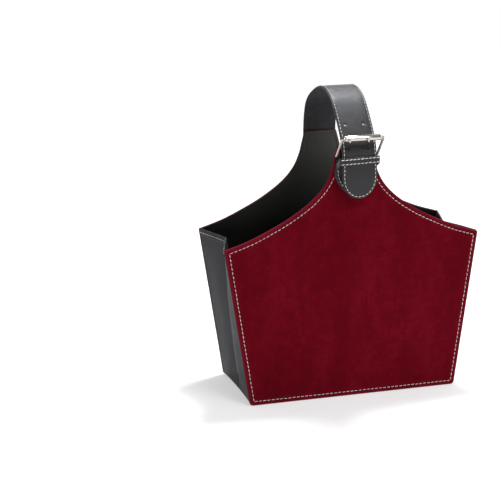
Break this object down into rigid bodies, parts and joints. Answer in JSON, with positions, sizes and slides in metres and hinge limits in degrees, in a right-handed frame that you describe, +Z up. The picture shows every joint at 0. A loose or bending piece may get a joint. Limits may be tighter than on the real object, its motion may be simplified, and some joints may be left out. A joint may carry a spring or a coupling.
{
  "type": "magazine holder",
  "caption": "Open-topped magazine holder with stiff shaped suede panels, folded side gussets and a strap handle closed by a roller buckle.",
  "frame": {"origin": "centre of the flat underside that the holder rests on", "axes": "+Z up, +X along the width, -Y out of the front face, where the buckle is"},
  "size_m": [0.34, 0.1797, 0.397],
  "materials": {
    "suede": "napped suede, burgundy",
    "black_leatherette": "fine-grained, satin",
    "gusset_leatherette": "fine-grained, satin",
    "lining": "matt, smooth",
    "strap_leather": "grained, semi-gloss",
    "strap_underside": "matt, fibrous",
    "board": "pressed fibre board, bare",
    "thread": "waxed twisted thread",
    "nickel": "polished nickel plate"
  },
  "bodies": {
    "base": {"base_cover": "black_leatherette", "base_board": "board", "base_lining": "lining", "left_gusset": "gusset_leatherette", "left_gusset_stitching": "thread", "right_gusset": "gusset_leatherette", "right_gusset_stitching": "thread", "handle_strap": "strap_leather", "strap_lining": "strap_underside", "strap_stitching": "thread"},
    "front_panel": {"front_cover": "suede", "front_board": "board", "front_lining": "lining", "front_stitching": "thread", "chape": "strap_leather", "chape_stitching": "thread", "keeper": "strap_leather", "keeper_stitching": "thread"},
    "back_panel": {"back_cover": "suede", "back_board": "board", "back_lining": "lining", "back_stitching": "thread"},
    "buckle_frame": {"buckle_frame": "nickel"},
    "buckle_roller": {"buckle_roller": "nickel"},
    "left_prong": {"left_prong": "nickel"},
    "right_prong": {"right_prong": "nickel"}
  },
  "joints": [
    {"name": "front_panel_lean", "type": "hinge", "parent": "base", "child": "front_panel", "pos_m": [0, -0.0654, 0.0008], "axis": [-1, 0, 0], "range_deg": [0, 5], "stiffness_Nm_per_rad": 4, "springref_deg": -1.15, "deforming": ["left_gusset", "left_gusset_stitching", "right_gusset", "right_gusset_stitching", "handle_strap", "strap_lining", "strap_stitching"]},
    {"name": "back_panel_lean", "type": "hinge", "parent": "base", "child": "back_panel", "pos_m": [0, 0.0654, 0.0008], "axis": [1, 0, 0], "range_deg": [0, 5], "stiffness_Nm_per_rad": 4, "springref_deg": -1.15},
    {"name": "buckle_frame_pivot", "type": "hinge", "parent": "front_panel", "child": "buckle_frame", "pos_m": [0, -0.0765, 0.316], "axis": [1, 0, 0], "range_deg": [-5, 3]},
    {"name": "buckle_roller_spin", "type": "hinge", "parent": "buckle_frame", "child": "buckle_roller", "pos_m": [0, -0.1, 0.3423], "axis": [1, 0, 0], "continuous": true},
    {"name": "left_prong_pivot", "type": "hinge", "parent": "buckle_frame", "child": "left_prong", "pos_m": [-0.01, -0.0765, 0.316], "axis": [1, 0, 0], "range_deg": [0, 4]},
    {"name": "right_prong_pivot", "type": "hinge", "parent": "buckle_frame", "child": "right_prong", "pos_m": [0.014, -0.0765, 0.316], "axis": [1, 0, 0], "range_deg": [0, 4]}
  ],
  "couplings": [
    {"joint": "back_panel_lean", "follows": "front_panel_lean", "ratio": 1}
  ]
}
